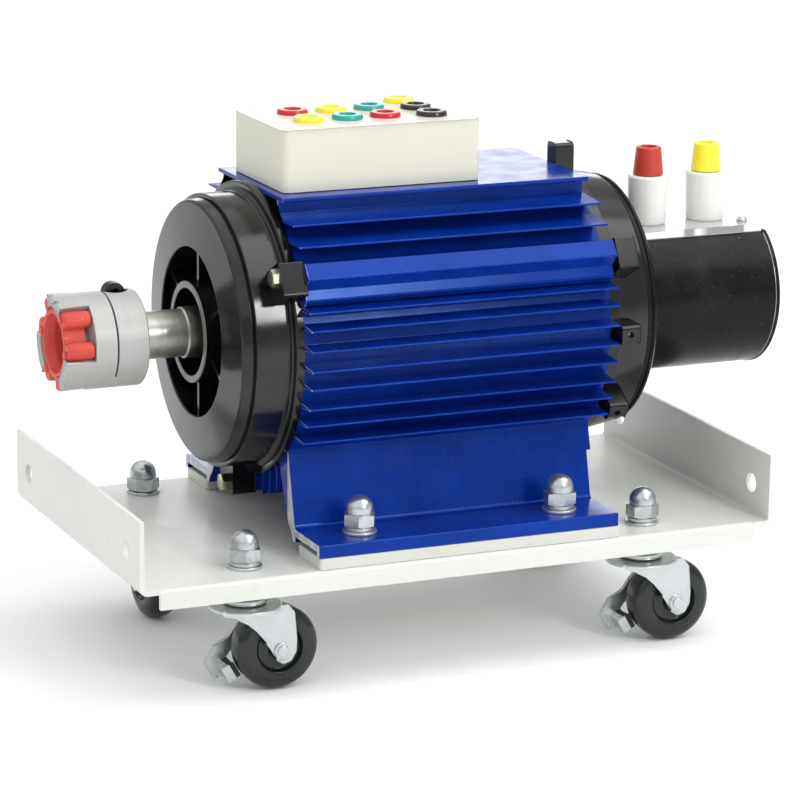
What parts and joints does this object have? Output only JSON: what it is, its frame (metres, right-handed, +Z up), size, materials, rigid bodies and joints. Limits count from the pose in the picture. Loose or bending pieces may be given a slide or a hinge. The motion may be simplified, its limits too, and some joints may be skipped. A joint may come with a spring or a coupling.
{
  "type": "electric motor demonstration trolley",
  "caption": "Finned electric motor with jaw coupling, socket box and rear tachometer, bolted to a sheet-metal tray on swivel casters.",
  "frame": {"origin": "on the floor under the middle of the whole part", "axes": "X runs along the shaft from the coupling to the tachometer, Z is up, the side seen first, with the long cream strip nearest, faces -Y"},
  "size_m": [0.4486, 0.22, 0.3172],
  "materials": {
    "cream_grey_paint": "satin powder coat, light grey",
    "cream_paint": "satin cream paint",
    "blue_paint": "glossy blue paint with orange peel",
    "black_gloss": "glossy black paint on castings",
    "black_satin": "satin black coat",
    "ground_steel": "ground steel",
    "zinc_steel": "bright zinc plate",
    "yellow_zinc": "yellow passivated zinc",
    "dark_screw": "blackened steel",
    "hub_aluminium": "satin turned aluminium",
    "electrical_steel": "stacked electrical steel",
    "copper_winding": "varnished copper wire",
    "cast_aluminium": "die-cast",
    "bearing_steel": "polished bearing steel",
    "coral_elastomer": "satin red elastomer",
    "clear_acrylic": "clear, polished",
    "ivory_plastic": "smooth ivory moulding",
    "white_plastic": "smooth white moulding",
    "red_plastic": "glossy",
    "yellow_plastic": "glossy",
    "green_plastic": "glossy",
    "black_plastic": "glossy",
    "orange_red_plastic": "glossy",
    "brass_contact": "plain",
    "black_rubber": "matt"
  },
  "bodies": {
    "trolley": {"base_plate": "cream_grey_paint", "bearing_outer_rings": "bearing_steel", "box_floor": "ivory_plastic", "box_pads": "black_rubber", "box_screw": "dark_screw", "cap_nuts": "zinc_steel", "caster_stems": "zinc_steel", "cowl_screws": "dark_screw", "drive_end_shield": "black_gloss", "foot_bolts": "zinc_steel", "lock_washers": "zinc_steel", "plate_washers": "zinc_steel", "post_bodies": "white_plastic", "post_studs": "brass_contact", "rear_cover": "black_satin", "rear_end_shield": "black_gloss", "shield_screws": "yellow_zinc", "socket_contacts": "brass_contact", "sockets_black": "black_plastic", "sockets_green": "green_plastic", "sockets_red": "red_plastic", "sockets_yellow": "yellow_plastic", "spacer_bars": "cream_paint", "stator_core": "electrical_steel", "stator_housing": "blue_paint", "stator_windings": "copper_winding", "tacho_end_cap": "black_satin", "tacho_housing": "black_satin", "tacho_stator": "electrical_steel", "terminal_box": "ivory_plastic", "window_plate": "clear_acrylic", "window_screws": "zinc_steel"},
    "rotor": {"shaft": "ground_steel", "rotor_core": "electrical_steel", "rotor_end_rings": "cast_aluminium", "bearing_inner_rings": "bearing_steel", "bearing_balls": "bearing_steel", "shaft_key": "ground_steel", "coupling_hub": "hub_aluminium", "coupling_spider": "coral_elastomer", "clamp_screw": "dark_screw", "tacho_rotor": "cast_aluminium"},
    "red_cap": {"red_post_cap": "orange_red_plastic"},
    "yellow_cap": {"yellow_post_cap": "yellow_plastic"},
    "fork_fl": {"fork_fl": "zinc_steel", "axle_fl": "zinc_steel"},
    "wheel_fl": {"wheel_fl": "black_rubber"},
    "brake_fl": {"brake_lever_fl": "zinc_steel"},
    "fork_fr": {"fork_fr": "zinc_steel", "axle_fr": "zinc_steel"},
    "wheel_fr": {"wheel_fr": "black_rubber"},
    "brake_fr": {"brake_lever_fr": "zinc_steel"},
    "fork_bl": {"fork_bl": "zinc_steel", "axle_bl": "zinc_steel"},
    "wheel_bl": {"wheel_bl": "black_rubber"},
    "brake_bl": {"brake_lever_bl": "zinc_steel"},
    "fork_br": {"fork_br": "zinc_steel", "axle_br": "zinc_steel"},
    "wheel_br": {"wheel_br": "black_rubber"},
    "brake_br": {"brake_lever_br": "zinc_steel"}
  },
  "joints": [
    {"name": "rotor_spin", "type": "hinge", "parent": "trolley", "child": "rotor", "pos_m": [0, 0, 0.192], "axis": [1, 0, 0], "continuous": true},
    {"name": "red_cap_turn", "type": "hinge", "parent": "trolley", "child": "red_cap", "pos_m": [0.1564, 0, 0.272], "axis": [0, 0, 1], "continuous": true},
    {"name": "yellow_cap_turn", "type": "hinge", "parent": "trolley", "child": "yellow_cap", "pos_m": [0.1959, 0, 0.272], "axis": [0, 0, 1], "continuous": true},
    {"name": "swivel_fl", "type": "hinge", "parent": "trolley", "child": "fork_fl", "pos_m": [-0.1388, -0.0855, 0.051], "axis": [0, 0, 1], "continuous": true},
    {"name": "wheel_spin_fl", "type": "hinge", "parent": "fork_fl", "child": "wheel_fl", "pos_m": [-0.1208, -0.0855, 0.025], "axis": [0, 1, 0], "continuous": true},
    {"name": "brake_fl", "type": "hinge", "parent": "fork_fl", "child": "brake_fl", "pos_m": [-0.1288, -0.0712, 0.037], "axis": [0, 1, 0], "range_deg": [0, 12]},
    {"name": "swivel_fr", "type": "hinge", "parent": "trolley", "child": "fork_fr", "pos_m": [0.1143, -0.0855, 0.051], "axis": [0, 0, 1], "continuous": true},
    {"name": "wheel_spin_fr", "type": "hinge", "parent": "fork_fr", "child": "wheel_fr", "pos_m": [0.1323, -0.0855, 0.025], "axis": [0, 1, 0], "continuous": true},
    {"name": "brake_fr", "type": "hinge", "parent": "fork_fr", "child": "brake_fr", "pos_m": [0.1243, -0.0712, 0.037], "axis": [0, 1, 0], "range_deg": [0, 12]},
    {"name": "swivel_bl", "type": "hinge", "parent": "trolley", "child": "fork_bl", "pos_m": [-0.1388, 0.0855, 0.051], "axis": [0, 0, 1], "continuous": true},
    {"name": "wheel_spin_bl", "type": "hinge", "parent": "fork_bl", "child": "wheel_bl", "pos_m": [-0.1388, 0.0675, 0.025], "axis": [1, 0, 0], "continuous": true},
    {"name": "brake_bl", "type": "hinge", "parent": "fork_bl", "child": "brake_bl", "pos_m": [-0.1245, 0.0755, 0.037], "axis": [1, 0, 0], "range_deg": [0, 12]},
    {"name": "swivel_br", "type": "hinge", "parent": "trolley", "child": "fork_br", "pos_m": [0.1143, 0.0855, 0.051], "axis": [0, 0, 1], "continuous": true},
    {"name": "wheel_spin_br", "type": "hinge", "parent": "fork_br", "child": "wheel_br", "pos_m": [0.1323, 0.0855, 0.025], "axis": [0, 1, 0], "continuous": true},
    {"name": "brake_br", "type": "hinge", "parent": "fork_br", "child": "brake_br", "pos_m": [0.1243, 0.0998, 0.037], "axis": [0, 1, 0], "range_deg": [0, 12]}
  ]
}
